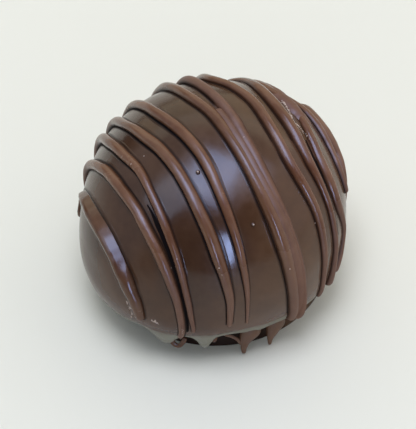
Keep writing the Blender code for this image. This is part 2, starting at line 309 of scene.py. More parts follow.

# front end and back end in degrees round the plane, sink at front and back as a share of the half
# width, sideways offsets in mm, half widths in mm. The last four are not poured strands: one
# fills the pair that ran together, two are flat strips of painted shade where the crevices between
# strands lie in shadow, and one is a smear at the upper right
STRANDS = {
    "second": (-17, 190, 0.0, -0.3,
        (-13.55, -13.66, -13.83, -13.94, -13.88, -13.84, -13.68, -13.48, -12.88, -12.3),
        (0.42, 0.55, 0.76, 0.79, 0.78, 0.78, 0.77, 0.72, 0.67, 0.55)),
    "third": (-9, 188, -0.2, -0.3,
        (-12.16, -12.52, -12.48, -12.14, -11.66, -11.21, -11.24, -10.85, -9.75, -9.4),
        (0.22, 0.40, 0.50, 0.58, 0.57, 0.65, 0.71, 0.74, 0.76, 0.55)),
    "fourth": (-5, 190, -0.2, -0.32,
        (-8.01, -7.79, -7.99, -7.94, -7.76, -7.86, -8.15, -8.07, -7.17, -7),
        (0.32, 0.5, 0.82, 0.83, 0.78, 0.81, 0.75, 0.67, 0.72, 0.55)),
    "fifth": (-6, 189, -0.2, -0.32,
        (-5.61, -5.56, -5.27, -4.76, -4.2, -4.38, -4.77, -4.59, -4.12, -4.3),
        (0.1, 0.29, 0.55, 0.65, 0.75, 0.8, 0.79, 0.73, 0.62, 0.55)),
    "band_left": (-17, 188, -0.1, -0.22,
        (1.54, 0.95, 0.53, 0.31, 0.44, 0.58, 0.23, 0.34, 0.86, 0.4),
        (0.81, 0.85, 0.99, 0.84, 0.79, 0.8, 0.79, 0.79, 0.85, 0.55)),
    "band_right": (-16, 190, -0.1, -0.25,
        (2.24, 2.58, 2.24, 1.79, 2.11, 2.66, 2.85, 3.2, 4.05, 3.8),
        (1.15, 0.53, 0.49, 0.68, 0.78, 0.76, 0.71, 0.77, 0.85, 0.55)),
    "sixth": (-15, 189, -0.2, -0.28,
        (6.41, 6.8, 7.17, 6.27, 6.54, 6.95, 6.46, 5.61, 6.42, 6.3),
        (0.39, 0.46, 0.62, 0.76, 0.77, 0.74, 0.65, 0.68, 0.85, 0.55)),
    "seventh": (-13, 190, -0.2, -0.18,
        (8.19, 9.36, 9.74, 9.34, 9.61, 9.78, 10.17, 10.52, 9.7, 9.4),
        (0.64, 0.48, 0.5, 0.72, 0.9, 0.87, 0.76, 0.64, 0.47, 0.55)),
    "eighth": (-12, 189, 0, 0.05,
        (9.66, 12.25, 11.65, 11.70, 12.52, 12.8, 12.1, 12.07, 11.45, 11),
        (0.62, 0.40, 0.74, 0.76, 0.72, 0.64, 0.74, 0.98, 0.85, 0.55)),
    "ninth": (29, 188, -0.2, -0.25,
        (15.78, 15.46, 14.92, 15.13, 15.38, 15.19, 14.91, 14.27, 13.92, 14),
        (0.27, 0.36, 0.46, 0.56, 0.64, 0.63, 0.45, 0.45, 0.45, 0.55)),
    "far_right": (12, 187, 1.3, -0.3,
        (14.98, 15.58, 16.14, 16.65, 16.34, 16.16, 16.16, 16.24, 15.87, 15.6),
        (0.4, 0.42, 0.6, 0.82, 1.01, 0.96, 0.97, 0.83, 0.69, 0.55)),
    "band_fill": (-14, 97, 0.3, 0.12,
        (1.9, 1.75, 1.4, 1.05, 1.28, 1.62, 1.7, 1.7, 1.7, 1.7),
        (1.25, 1.1, 1.1, 1.0, 0.95, 0.75, 0.5, 0.5, 0.5, 0.5)),
    "gap": (-9, 76, 0.85, 0.85,
        (-12.9, -12.98, -13.0, -12.88, -12.7, -12.7, -12.7, -12.7, -12.7, -12.7),
        (0.10, 0.16, 0.24, 0.27, 0.04, 0.04, 0.04, 0.04, 0.04, 0.04)),
    "slit": (16, 70, 0.85, 0.85,
        (10.6, 10.6, 10.45, 10.75, 11.3, 11.3, 11.3, 11.3, 11.3, 11.3),
        (0.06, 0.1, 0.2, 0.22, 0.04, 0.04, 0.04, 0.04, 0.04, 0.04)),
    "shoulder": (76, 150, 0.4, 0.4,
        (12.8, 12.8, 12.8, 12.8, 12.9, 12.8, 12.6, 12.4, 12.2, 12.0),
        (1.0, 1.0, 1.0, 1.0, 1.15, 1.35, 1.45, 1.4, 1.0, 0.8)),
}

# the strand at the far left only clips the side, and folds over into a small loop: compass angle,
# level, half width and lift off the coating
FAR_LEFT = (
    (-120.4, 7.4, 0.62, 0.0), (-121.0, 8.4, 0.78, 0.0), (-122.0, 9.6, 0.88, 0.0),
    (-123.9, 10.9, 1.00, 0.0), (-126.3, 12.0, 1.10, 0.0), (-129.2, 13.15, 1.18, 0.0),
    (-132.5, 14.05, 1.18, 0.0), (-137.1, 15.1, 1.15, 0.0), (-142.7, 15.9, 1.18, 0.0),
    (-149.8, 16.4, 1.22, 0.0), (-158.4, 16.4, 1.22, 0.0), (-168.5, 15.7, 1.08, 0.0),
    (-175.5, 14.6, 0.90, 0.0), (-181.5, 13.0, 0.62, 0.0), (-182.6, 11.9, 0.36, 0.10),
    (-181.6, 10.8, 0.34, 0.14), (-180.5, 9.9, 0.48, 0.04), (-180.3, 9.0, 0.50, 0.0),
)


# %% [markdown]
# A straight line from the middle of the ball leaves the coating at one point. Halving finds it: the
# line's middle is tested, and the half that holds the surface is kept, forty times over.

# %% Find places on the coating
FARTHEST = 40.0
HALVINGS = 40


def plane_points(angle, offset, reach):
    """Points in a strand's upright plane."""
    along = reach * np.cos(angle)
    x = along * math.cos(STRAND_RUN) - offset * math.sin(STRAND_RUN)
    y = along * math.sin(STRAND_RUN) + offset * math.cos(STRAND_RUN)
    return np.stack([x, y, STRAND_CENTRE_LEVEL + reach * np.sin(angle)], axis=-1)


def surface_gap(points):
    """How far outside the coating points are, measured level."""
    level = np.clip(points[:, 2], RIM_LEVEL - RIM_ROLL_DOWN, CROWN_LEVEL - 1e-6)
    turn = np.arctan2(points[:, 1], points[:, 0])
    gap = np.hypot(points[:, 0], points[:, 1]) - shell_radius(turn, level)
    return np.where(points[:, 2] >= CROWN_LEVEL, 1.0, gap)


def leave_coating(start, ray):
    """Where rays that start inside leave the coating, by halving."""
    near = np.zeros(len(ray))
    far = np.full(len(ray), FARTHEST)
    for _ in range(HALVINGS):
        middle = (near + far) / 2
        out = surface_gap(start + ray * middle[:, None]) > 0
        far = np.where(out, middle, far)
        near = np.where(out, near, middle)
    return start + ray * near[:, None]


def surface_points(angle, offset):
    """Where a strand's plane rays leave the coating."""
    start = plane_points(angle, offset, np.zeros(len(angle)))
    return leave_coating(start, plane_points(angle, offset, np.ones(len(angle))) - start)


def surface_normals(points):
    """Directions square to the coating."""
    turn = np.arctan2(points[:, 1], points[:, 0])
    flat = np.hypot(points[:, 0], points[:, 1])
    rise = (points[:, 2] - BELLY_LEVEL) * (HALF_WIDTH / CROWN_HEIGHT) ** 2
    drop = np.clip((BELLY_LEVEL - points[:, 2]) / SKIRT_REACH, 0.0, 1.0)
    rise = np.where(points[:, 2] > BELLY_LEVEL, rise, -HALF_WIDTH * drop ** (SKIRT_POWER - 1.0))
    normal = np.stack([flat * np.cos(turn), flat * np.sin(turn), rise], axis=-1)
    return normal / np.linalg.norm(normal, axis=1)[:, None]


# %% [markdown]
# Melted chocolate that sets on chocolate doesn't just sit there like a rope. On one side the bead
# overhangs and leaves a narrow dark crevice, on the other it has often flowed out in a soft fillet.
# So the cut across a strand is drawn point by point: a skirt that lies on the coating, the round
# bead, another skirt, and an underside that is sunk in the coating. Each point also gets a share of
# the painted shade in the crevice (painted_shade) and of the drizzle's paler colour (milk).

# %% The cut across a strand
# places are in half widths, left negative; lifts are heights over the coating in mm
ARC = np.radians(np.linspace(200.0, -20.0, 19))
SKIRT_PLACE = np.array((1.62, 1.50, 1.32, 1.18, 1.06))
SKIRT_LIFT = np.array((-0.03, 0.008, 0.018, 0.022, 0.026))
UNDER_PLACE = np.array((1.0, 0.0, -1.0))
UNDER_LIFT = np.array((-0.25, -0.35, -0.25))
CUT_PLACE = np.concatenate([-SKIRT_PLACE, np.cos(ARC), SKIRT_PLACE[::-1], UNDER_PLACE])
CUT_HEIGHT = np.concatenate([np.zeros(5), np.sin(ARC), np.zeros(8)])
CUT_LIFT = np.concatenate([SKIRT_LIFT, np.zeros(19), SKIRT_LIFT[::-1], UNDER_LIFT])
ON_BEAD = np.concatenate([np.zeros(5), np.ones(19), np.zeros(8)]) > 0
SKIRT_MILK = np.array((0.0, 0.0, 0.0, 0.1, 0.5))
# share of painted shade on the skirts beside the bead and on the bead's lowest flanks
SKIRT_SHADE = np.array((0.0, 0.15, 0.65, 1.0, 1.0))
CREVICE_SHADE_FROM = 62.0
CREVICE_SHADE_FADE = 40.0
ARC_SHADE = np.clip((np.abs(np.degrees(ARC) - 90.0) - CREVICE_SHADE_FROM) / CREVICE_SHADE_FADE, 0.0, 1.0)
CUT_MILK = np.concatenate([SKIRT_MILK, np.ones(19), SKIRT_MILK[::-1], np.zeros(3)])
CUT_SHADE = np.concatenate([SKIRT_SHADE, ARC_SHADE, SKIRT_SHADE[::-1], np.zeros(3)])
CUT_SIDES = len(CUT_PLACE)
print("points in the cut across a strand", CUT_SIDES)

# %% [markdown]
# No two strands set alike. The table below says how each one met the coating, which ones sagged to
# the right or settled with a flat top, and which ones are dull or glossy. A flat top matters more
# than it seems: it mirrors a whole window at once, where a round one shows only a thin streak.

# %% How each strand set
# how dark the painted shade in the crevice is at the left and right, how much the right side has
# flowed out, and how milky the strand's colour is
STRAND_LOOKS = {
    "far_left": (0.15, 0.6, 0.0, 0.4),
    "second": (0.7, 0.8, 0.0, 0.9),
    "third": (1.0, 0.6, 0.0, 0.9),
    "fourth": (1.0, 0.7, 0.0, 0.8),
    "fifth": (1.0, 0.6, 0.1, 0.95),
    "band_left": (0.9, 0.0, 0.0, 0.8),
    "band_right": (0.0, 0.1, 0.7, 0.85),
    "sixth": (0.85, 0.1, 0.7, 0.95),
    "seventh": (0.85, 0.2, 0.6, 1.0),
    "eighth": (0.85, 0.3, 0.4, 1.0),
    "ninth": (1.0, 0.3, 0.4, 1.0),
    "far_right": (0.7, 0.3, 0.4, 1.0),
    "band_fill": (0.0, 0.0, 0.0, 0.8),
    # the gap and the slit are strips of painted shade, dark all over
    "gap": (1.0, 1.0, 0.0, 0.0),
    "slit": (1.0, 1.0, 0.0, 0.0),
    "shoulder": (0.0, 0.3, 0.0, 1.0),
}

# how much a strand slopes away to the right, where it was wide and sagged
LEANS = {"fourth": 0.15, "band_left": 0.2}
LEAN_FROM = -0.3

# height in half widths and slope of a strand whose top has settled flat, the share of its length
# that stayed round, and the share over which the one goes over into the other
FLAT_TOPS = {"far_left": (1.25, 1.4)}
NO_FLAT_TOP = (2.0, 0.0)
ROUND_SHARE = 0.22
SETTLING_SHARE = 0.1

# strands that set duller than the rest, or glossier where it is below zero
DULL = {
    "far_left": -0.35,
    "band_right": 1.0,
    "band_fill": 1.0,
    "shoulder": 1.0,
    "ninth": 0.4,
    "far_right": 0.4,
}

# strips of painted shade between two strands lie flat, this high over the coating
SHADE_STRIPS = ("gap", "slit")
SHADE_STRIP_LIFT = 0.03

# %% [markdown]
# A poured strand is never quite even: it wanders a little and swells and thins as the hand moves.
# Two slow waves of noise do that. The half width closes at both ends like half a circle, so that
# a strand ends in a soft round tip and not in a cut.

# %% Lines of the strands
WANDER = 0.05
WANDER_PITCH = 9.0
SWELL = 0.045
SWELL_PITCH = 7.0
SWELL_SEED = 50
SEED_STEP = 7.3
FAR_LEFT_SINK = 0.1
SINK_FROM = -10
SINK_OVER = 70


def slow_noise(count, seed, pitch):
    """Smooth noise along a strand, about -1 to 1."""
    places = [Vector((index / pitch, seed * SEED_STEP, 0.5)) for index in range(count)]
    return np.array([noise.noise(place) for place in places])


def plane_strand(name, seed):
    """Points on the coating, sink and half widths of a strand in its upright plane."""
    front, back, sink_front, sink_back, offsets, widths = STRANDS[name]
    degrees = np.linspace(front, back, STRAND_POINTS + 1)
    wander = WANDER * slow_noise(STRAND_POINTS + 1, seed, WANDER_PITCH)
    offset = curve_values(degrees, STATIONS, offsets) + wander
    half_width = curve_values(degrees, STATIONS, widths)
    on_coating = surface_points(np.radians(degrees), offset)
    sink = sink_front + (sink_back - sink_front) * smooth((degrees - SINK_FROM) / SINK_OVER)
    return on_coating, -half_width * sink, half_width, degrees


def far_left_strand():
    """The same for the strand that folds over at the far left."""
    compass, level, half_width, lift = np.array(FAR_LEFT).T
    turn = np.radians(compass)
    radius = shell_radius(turn, level)
    on_coating = np.stack([radius * np.cos(turn), radius * np.sin(turn), level], axis=-1)
    run = np.concatenate([[0.0], np.cumsum(np.linalg.norm(np.diff(on_coating, axis=0), axis=1))])
    place = np.linspace(0.0, run[-1], STRAND_POINTS + 1)
    turn = curve_values(place, run, turn)
    level = curve_values(place, run, level)
    half_width = curve_values(place, run, half_width)
    lift = curve_values(place, run, lift) - FAR_LEFT_SINK * half_width
    radius = shell_radius(turn, level)
    on_coating = np.stack([radius * np.cos(turn), radius * np.sin(turn), level], axis=-1)
    return on_coating, lift, half_width, np.zeros(STRAND_POINTS + 1)


# %% [markdown]
# A UV sphere is a good start for a closed tube: its rings become the cuts along the strand, and its
# two poles the tips. Moving the points can turn faces inside out, so the normals are made
# consistent afterwards.

# %% Closed tubes
TIP_CLOSING = 0.995


def across(line, up):
    """Sideways directions, to the right of a line that is seen from outside."""
    along = np.gradient(line, axis=0)
    side = np.cross(along, up)
    return side / np.linalg.norm(side, axis=1)[:, None]


def round_tips(line, half_width):
    """Half widths that close at both ends of a line like half a circle."""
    run = np.concatenate([[0.0], np.cumsum(np.linalg.norm(np.diff(line, axis=0), axis=1))])
    to_end = np.minimum(run, run[-1] - run) / half_width
    return half_width * np.sqrt(1 - (1 - np.clip(to_end, 0.0, 1.0)) ** 2 * TIP_CLOSING)


def tube_from_sphere(name, rings, sides, cuts, marks):
    """Closed tube whose cuts are given ring by ring, from a UV sphere."""
    bpy.ops.object.select_all(action="DESELECT")
    bpy.ops.mesh.primitive_uv_sphere_add(segments=sides, ring_count=rings, radius=1.0)
    piece = bpy.context.object
    unit = read_points(piece)
    ring = np.rint(np.arccos(np.clip(unit[:, 2], -1.0, 1.0)) / math.pi * rings).astype(int)
    spoke = np.rint(np.arctan2(unit[:, 1], unit[:, 0]) / math.tau * sides).astype(int) % sides
    write_points(piece, cuts[ring, spoke] * MM + AXIS)
    for mark, values in marks.items():
        add_marks(piece, mark, np.broadcast_to(values, cuts.shape[:2])[ring, spoke])
    bpy.ops.object.mode_set(mode="EDIT")
    bpy.ops.mesh.select_all(action="SELECT")
    bpy.ops.mesh.normals_make_consistent(inside=False)
    bpy.ops.object.mode_set(mode="OBJECT")
    return finish_piece(piece, name)


# %% [markdown]
# Now the cut is laid across the strand's line, once for every ring. The bead's points stand on the
# line and the skirts' points are held to the coating, wherever that curves to. On the right side a
# fillet may fill the corner between the bead and its skirt.

# %% Shape of a bead
FILLET_HEIGHT = 0.35
FILLET_WIDTH = 0.56
FILLET_STEEPEST = 1.2
FILLET_BELOW = 0.15
SPREAD = 0.12
SPREAD_BELOW = 0.3
CUT_EDGE = SKIRT_PLACE[0]
SLIT_FROM = 98.0
SLIT_OPENING = 4.0


def bead_height(name):
    """Height of the cut's points in half widths, ring by ring, before it is raised or sunk."""
    lean = LEANS.get(name, 0.0) * np.clip(CUT_PLACE - LEAN_FROM, 0.0, 1.0)
    top, slope = FLAT_TOPS.get(name, NO_FLAT_TOP)
    arc = CUT_HEIGHT * (1 - lean)
    along = np.linspace(0.0, 1.0, STRAND_POINTS + 1)
    settled = smooth((along - ROUND_SHARE) / SETTLING_SHARE)[:, None]
    return arc + (np.minimum(arc, top - slope * CUT_PLACE) - arc) * settled


def hold_to_coating(points):
    """The same points moved to the coating, straight out from the middle of the ball."""
    middle = np.array([0.0, 0.0, STRAND_CENTRE_LEVEL])
    ray = (points - middle).reshape(-1, 3)
    ray = ray / np.linalg.norm(ray, axis=1)[:, None]
    return leave_coating(middle, ray).reshape(points.shape)


def painted_crevice_shade(name, degrees):
    """Painted shade in the crevices, ring by ring. On the band it opens only behind the crown, at the
    slit.
    """
    left_shade, right_shade, _, _ = STRAND_LOOKS[name]
    if name == "band_right":
        left_shade = smooth((degrees - SLIT_FROM) / SLIT_OPENING)[:, None]
    painted_shade = CUT_SHADE * np.where(CUT_PLACE < 0, left_shade, right_shade)
    return np.maximum(painted_shade, (name in SHADE_STRIPS) * ON_BEAD)


# %% Make the strands
def make_strand(name, seed):
    measured = far_left_strand() if name == "far_left" else plane_strand(name, seed)
    on_coating, raised, half_width, degrees = measured
    _, _, fillet, milk = STRAND_LOOKS[name]
    swell = SWELL * slow_noise(STRAND_POINTS + 1, seed + SWELL_SEED, SWELL_PITCH)
    half_width = half_width * (1 + swell)
    closed = round_tips(on_coating, half_width)
    raised = raised * closed / half_width
    half_width = closed[:, None]
    up = surface_normals(on_coating)
    side = across(on_coating, up)
    rise = (raised / closed)[:, None]
    flowed = fillet * (CUT_PLACE > 0)
    low = flowed * ON_BEAD * (CUT_HEIGHT < FILLET_BELOW)
    shoulder = np.clip((CUT_EDGE - CUT_PLACE) / FILLET_WIDTH, 0.0, FILLET_STEEPEST)
    shoulder = FILLET_HEIGHT * shoulder**2
    height = (bead_height(name) + rise) * (1 - low) + shoulder * low
    place = CUT_PLACE + SPREAD * flowed * ON_BEAD * (CUT_HEIGHT < SPREAD_BELOW)
    flat = on_coating[:, None] + side[:, None] * (half_width * place)[..., None]
    cuts = flat + up[:, None] * (half_width * height)[..., None]
    is_shade_strip = name in SHADE_STRIPS
    lift = CUT_LIFT + half_width * shoulder * flowed * (CUT_LIFT > 0) + SHADE_STRIP_LIFT * is_shade_strip * ON_BEAD
    held = hold_to_coating(flat) + up[:, None] * lift[..., None]
    cuts = np.where((~ON_BEAD | is_shade_strip)[:, None], held, cuts)
    cuts[0] = on_coating[0]
    cuts[-1] = on_coating[-1]
    # painted shade in the crevices beside the strand, and all over the shade strips
    painted_shade = painted_crevice_shade(name, degrees)
    marks = {"milk": CUT_MILK * milk, "painted_shade": painted_shade, "dull": DULL.get(name, 0.0)}
    return tube_from_sphere("strand_" + name, STRAND_POINTS, CUT_SIDES, cuts, marks)


strands = {name: make_strand(name, index) for index, name in enumerate(["far_left", *STRANDS])}
print("strands", len(strands), "faces", sum(len(s.data.polygons) for s in strands.values()))

# %% [markdown]
# ## Drips
# Under the front rim a few drops ran further and pulled out to points before they set. Each is a
# flattened bead along a short line, given by compass angle, level, how far in from the rim it is,
# and half width. They start inside the coating, so that no gap shows. The same closed tube that
# made the strands makes them.

# %% Make the drips
DRIP_RINGS = 40
DRIP_SIDES = 20
DRIP_THICKNESS = 0.7
DRIP_MILK = 0.35
DRIPS = {
    "middle": ((-70.5, 4.7, 1.2, 1.9), (-73.2, 3.7, 0.75, 1.55), (-75.3, 2.85, 0.45, 1.1),
        (-76.5, 2.05, 0.2, 0.66), (-77.1, 1.25, -0.02, 0.44), (-77.2, 0.36, -0.25, 0.26)),
    "thread": ((-88.4, 5.1, 1.0, 0.34), (-85.6, 4.1, 0.8, 0.28), (-82.3, 3.51, 0.6, 0.24),
        (-79.6, 2.79, 0.4, 0.26), (-77.5, 1.76, 0.15, 0.34)),
    "right": ((-57.5, 4.4, 1.3, 1.9), (-60.2, 3.2, 0.8, 1.45), (-62.4, 2.15, 0.4, 0.9),
        (-63.9, 1.3, 0.1, 0.46), (-64.7, 0.4, -0.25, 0.2)),
    "film": ((-111.0, 2.9, 1.3, 0.5), (-109.0, 1.85, 1.0, 0.42), (-106.6, 1.6, 0.9, 0.36),
        (-104.9, 2.2, 1.0, 0.34), (-103.7, 3.2, 1.2, 0.34)),
    "bead": ((-91.8, 3.6, 1.2, 0.24), (-90.6, 2.8, 0.9, 0.24), (-89.4, 3.6, 1.2, 0.24)),
}


def make_drip(name):
    compass, level, inset, half_width = np.array(DRIPS[name]).T
    knots = np.arange(len(compass), dtype=float)
    share = np.linspace(0.0, knots[-1], DRIP_RINGS + 1)
    turn = np.radians(curve_values(share, knots, compass))
    radius = shell_radius(turn, np.full(len(turn), RIM_LEVEL)) - curve_values(share, knots, inset)
    level = curve_values(share, knots, level)
    line = np.stack([radius * np.cos(turn), radius * np.sin(turn), level], axis=-1)
    half_width = round_tips(line, curve_values(share, knots, half_width))[:, None, None]
    outward = np.stack([np.cos(turn), np.sin(turn), np.zeros(len(turn))], axis=-1)
    side = across(line, outward)
    face = np.cross(side, np.gradient(line, axis=0))
    face = face / np.linalg.norm(face, axis=1)[:, None] * DRIP_THICKNESS
    spoke = np.arange(DRIP_SIDES) / DRIP_SIDES * math.tau
    cuts = side[:, None] * np.cos(spoke)[:, None] + face[:, None] * np.sin(spoke)[:, None]
    cuts = line[:, None] + half_width * cuts
    cuts[0] = line[0]
    cuts[-1] = line[-1]
    return tube_from_sphere("drip_" + name, DRIP_RINGS, DRIP_SIDES, cuts, {"milk": DRIP_MILK})


drips = {name: make_drip(name) for name in DRIPS}
print("drips", len(drips))

# %% [markdown]
# ## Shader arithmetic
# Materials are easier to read as sums than as wiring. A Wire holds one socket, and adding or
# multiplying wires adds the Math nodes. A Board adds any other node from its type, its settings and
# what goes into its sockets.


# %% Small helpers for shader nodes
class Wire:
    """One output socket of a shader node, used in plain arithmetic."""

    def __init__(self, board, socket):
        self.board = board
        self.socket = socket

    def join(self, operation, first, second):
        return self.board.node("ShaderNodeMath", {"operation": operation}, {0: first, 1: second})

    def __add__(self, other):
        return self.join("ADD", self, other)

    def __radd__(self, other):
        return self.join("ADD", other, self)

    def __sub__(self, other):
        return self.join("SUBTRACT", self, other)

    def __rsub__(self, other):
        return self.join("SUBTRACT", other, self)

    def __mul__(self, other):
        return self.join("MULTIPLY", self, other)

    def __rmul__(self, other):
        return self.join("MULTIPLY", other, self)


class Board:
    """The node tree of one material."""

    def __init__(self, name):
        self.material = bpy.data.materials.new(name)
        self.material.use_nodes = True
        self.tree = self.material.node_tree
        self.surface = self.tree.nodes["Principled BSDF"]

    def node(self, kind, settings, sockets, out=0):
        made = self.tree.nodes.new(kind)
        for key, value in settings.items():
            setattr(made, key, value)
        for key, value in sockets.items():
            self.feed(made.inputs[key], value)
        return Wire(self, made.outputs[out])

    def feed(self, socket, value):
        if isinstance(value, Wire):
            self.tree.links.new(value.socket, socket)
        else:
            socket.default_value = value

    def mix(self, mask, first, second):
        """Colour that goes from first to second as mask goes from 0 to 1."""
        settings = {"data_type": "RGBA"}
        return self.node("ShaderNodeMix", settings, {0: mask, 6: first, 7: second}, out=2)

    def mark(self, name):
        """Value kept at the points of a piece, 0 where a piece has none."""
        return self.node("ShaderNodeAttribute", {"attribute_name": name}, {}, out="Fac")

    def place(self):
        return self.node("ShaderNodeTexCoord", {}, {}, out="Object")

    def along(self, axis):
        """Place in mm along one axis."""
        return self.node("ShaderNodeSeparateXYZ", {}, {0: self.place()}, out=axis) * 1000.0

    def speckle(self, scale, detail, roughness=0.5):
        """Noise from 0 to 1 in the piece's own space."""
        place = self.place()
        sockets = {"Vector": place, "Scale": scale, "Detail": detail, "Roughness": roughness}
        return self.node("ShaderNodeTexNoise", {}, sockets, out="Fac")

    def between(self, value, low, high):
        """Share of the way of a value from low to high, held between 0 and 1."""
        settings = {"interpolation_type": "SMOOTHSTEP"}
        sockets = {"Value": value, "From Min": low, "From Max": high}
        return self.node("ShaderNodeMapRange", settings, sockets)


# %% [markdown]
# ## Chocolate
# Milk chocolate is dark brown and softly shiny. Its colour drifts a little, and so does its shine,
# which breaks the reflections up. The coating is the darker of the two, and the drizzle has more
# milk in it. One material does for both, because the values kept at the points say which is which,
# so a strand can melt into the coating with no edge. The coating also has painted light: it is made
# lighter towards the right and the bottom, and a pale painted reflection of the floor runs round
# the low rim. Painted shade in crevices and under the rim is a second, dull and nearly black shader
# that the first is mixed with, because a shine in a crevice would give it away.


# %% Chocolate materials
COATING_DARK = (0.045, 0.019, 0.010, 1.0)
COATING_LIGHT = (0.108, 0.052, 0.025, 1.0)
DRIZZLE_DARK = (0.118, 0.048, 0.026, 1.0)
DRIZZLE_LIGHT = (0.178, 0.085, 0.048, 1.0)
# near-black colour of the painted shade in crevices and under the rim
PAINTED_SHADE_COLOUR = (0.005, 0.0025, 0.002, 1.0)
# pale colour of the painted reflection of the floor on the low rim
RIM_REFLECTION_COLOUR = (0.20, 0.19, 0.15, 1.0)
THIN_COLOUR = (0.10, 0.034, 0.011, 1.0)

# noise cells to a metre, from slow drift to fine grain
DRIFT_SCALE = 140.0
LUMP_SCALE = 190.0
RIM_SCALE = 260.0
SMALL_LUMP_SCALE = 420.0
MOTTLE_SCALE = 900.0
GRAIN_SCALE = 1900.0
BUMP_STRENGTH = 0.3
BUMP_DISTANCE = 0.12 * MM
SHINE = 0.4
SHADE_SHINE = 0.05


def make_chocolate():
    board = Board("chocolate")
    milk, painted_shade, dull = board.mark("milk"), board.mark("painted_shade"), board.mark("dull")
    drift = board.between(board.speckle(DRIFT_SCALE, 3.0), 0.35, 0.68)
    mottle = board.between(board.speckle(MOTTLE_SCALE, 2.0), 0.3, 0.7)
    # painted light: the coating is made lighter towards the right and towards the bottom, on top of
    # its drifting tone
    painted_light_right = board.between(board.along(0), -4.0, 12.0)
    painted_light_low = board.between(board.along(2), 15.0, 6.0)
    low_strand = milk * board.between(board.along(2), 20.0, 13.0)
    light = drift * 0.35 + mottle * 0.1 + painted_light_right * 0.42 + painted_light_low * 0.22
    coating_colour = board.mix(light, COATING_DARK, COATING_LIGHT)
    drizzle_colour = board.mix(drift * 0.7 + mottle * 0.3, DRIZZLE_DARK, DRIZZLE_LIGHT)
    # painted reflection of the pale floor: a pale band round the low rim, weaker towards the back
    back_side = board.between(board.along(1), -9.0, 3.0)
    rim_edge = board.along(2) + board.speckle(RIM_SCALE, 2.0) * 1.6
    floor_reflection = board.between(rim_edge, 6.9, 5.7) * board.between(milk + painted_shade, 0.3, 0.0)
    floor_reflection = floor_reflection * (1 - 0.7 * back_side)
    colour = board.mix(milk, coating_colour, drizzle_colour)
    colour = board.mix(floor_reflection, colour, RIM_REFLECTION_COLOUR)
    board.feed(board.surface.inputs["Base Color"], colour)
    roughness = 0.155 + drift * 0.08 + mottle * 0.03 + milk * 0.02 + low_strand * 0.35
    roughness = roughness + dull * 0.3 + floor_reflection * 0.2
    board.feed(board.surface.inputs["Roughness"], roughness)
    board.feed(board.surface.inputs["Specular IOR Level"], SHINE)
    lumps = board.speckle(LUMP_SCALE, 1.0) * 1.4 + board.speckle(SMALL_LUMP_SCALE, 3.0) * 0.4
    height = lumps + board.speckle(GRAIN_SCALE, 2.0) * (0.12 + milk * 0.3)
    sockets = {"Height": height, "Strength": BUMP_STRENGTH, "Distance": BUMP_DISTANCE}
    board.feed(board.surface.inputs["Normal"], board.node("ShaderNodeBump", {}, sockets))
    # painted shade: a dull near-black shader, mixed in where the painted shade value is high
    sockets = {"Base Color": PAINTED_SHADE_COLOUR, "Roughness": 0.8, "Specular IOR Level": SHADE_SHINE}
    shade_shader = board.node("ShaderNodeBsdfPrincipled", {}, sockets)
    open_face = Wire(board, board.surface.outputs["BSDF"])
    both = board.node("ShaderNodeMixShader", {}, {0: painted_shade, 1: open_face, 2: shade_shader})
    board.feed(board.tree.nodes["Material Output"].inputs["Surface"], both)
    return board.material


def make_plain(name, colour, roughness):
    board = Board(name)
    board.feed(board.surface.inputs["Base Color"], colour)
    board.feed(board.surface.inputs["Roughness"], roughness)
    return board.material


# %% Put the chocolate on
chocolate = make_chocolate()
thin_chocolate = make_plain("thin_chocolate", THIN_COLOUR, 0.25)
for piece in (coating, *strands.values(), *drips.values()):
    piece.data.materials.append(chocolate)
for name in ("film", "bead"):
    drips[name].data.materials[0] = thin_chocolate
print("chocolate nodes", len(chocolate.node_tree.nodes))

# %% [markdown]
# ## Floor, light and camera
# The truffle stands on a plain pale floor. Windows overhead and behind the camera show in the
# chocolate as bluish patches. Such windows are bright but light little, so they are panels that
# only reflections see. Plain panels round about give the even light of a room.

# %% Floor
bpy.ops.object.select_all(action="DESELECT")
bpy.ops.mesh.primitive_plane_add(size=4.0, location=(0.0, 0.0, 0.0))
floor = bpy.context.object
floor.name = "floor"
floor.data.materials.append(make_plain("pale_floor", (0.80, 0.82, 0.77, 1.0), 0.6))

# %% Light
world = bpy.data.worlds.new("room")
bpy.context.scene.world = world
world.use_nodes = True
room = world.node_tree.nodes["Background"]
room.inputs["Color"].default_value = (1.0, 0.96, 0.86, 1.0)
room.inputs["Strength"].default_value = 0.10
TRUFFLE_MIDDLE = Vector((0.0, 0.0, 0.015))


def add_panel(name, place, size, brightness, colour, use="both"):
    """Soft rectangular light facing the truffle, for even light, for reflections or for both."""
    data = bpy.data.lights.new(name, "AREA")
    data.shape = "RECTANGLE"
    data.size, data.size_y = size
    data.energy = brightness * math.pi * size[0] * size[1]
    data.color = colour
    panel = bpy.data.objects.new(name, data)
    bpy.context.collection.objects.link(panel)
    panel.location = place
    aim = TRUFFLE_MIDDLE - panel.location
    panel.rotation_euler = aim.to_track_quat("-Z", "Y").to_euler()
    panel.visible_diffuse = use != "shine"
    panel.visible_glossy = use != "even"
    return panel


add_panel("window_even", (-0.06, -0.02, 1.0), (0.5, 0.5), 5.3, (1.0, 1.0, 1.0), "even")
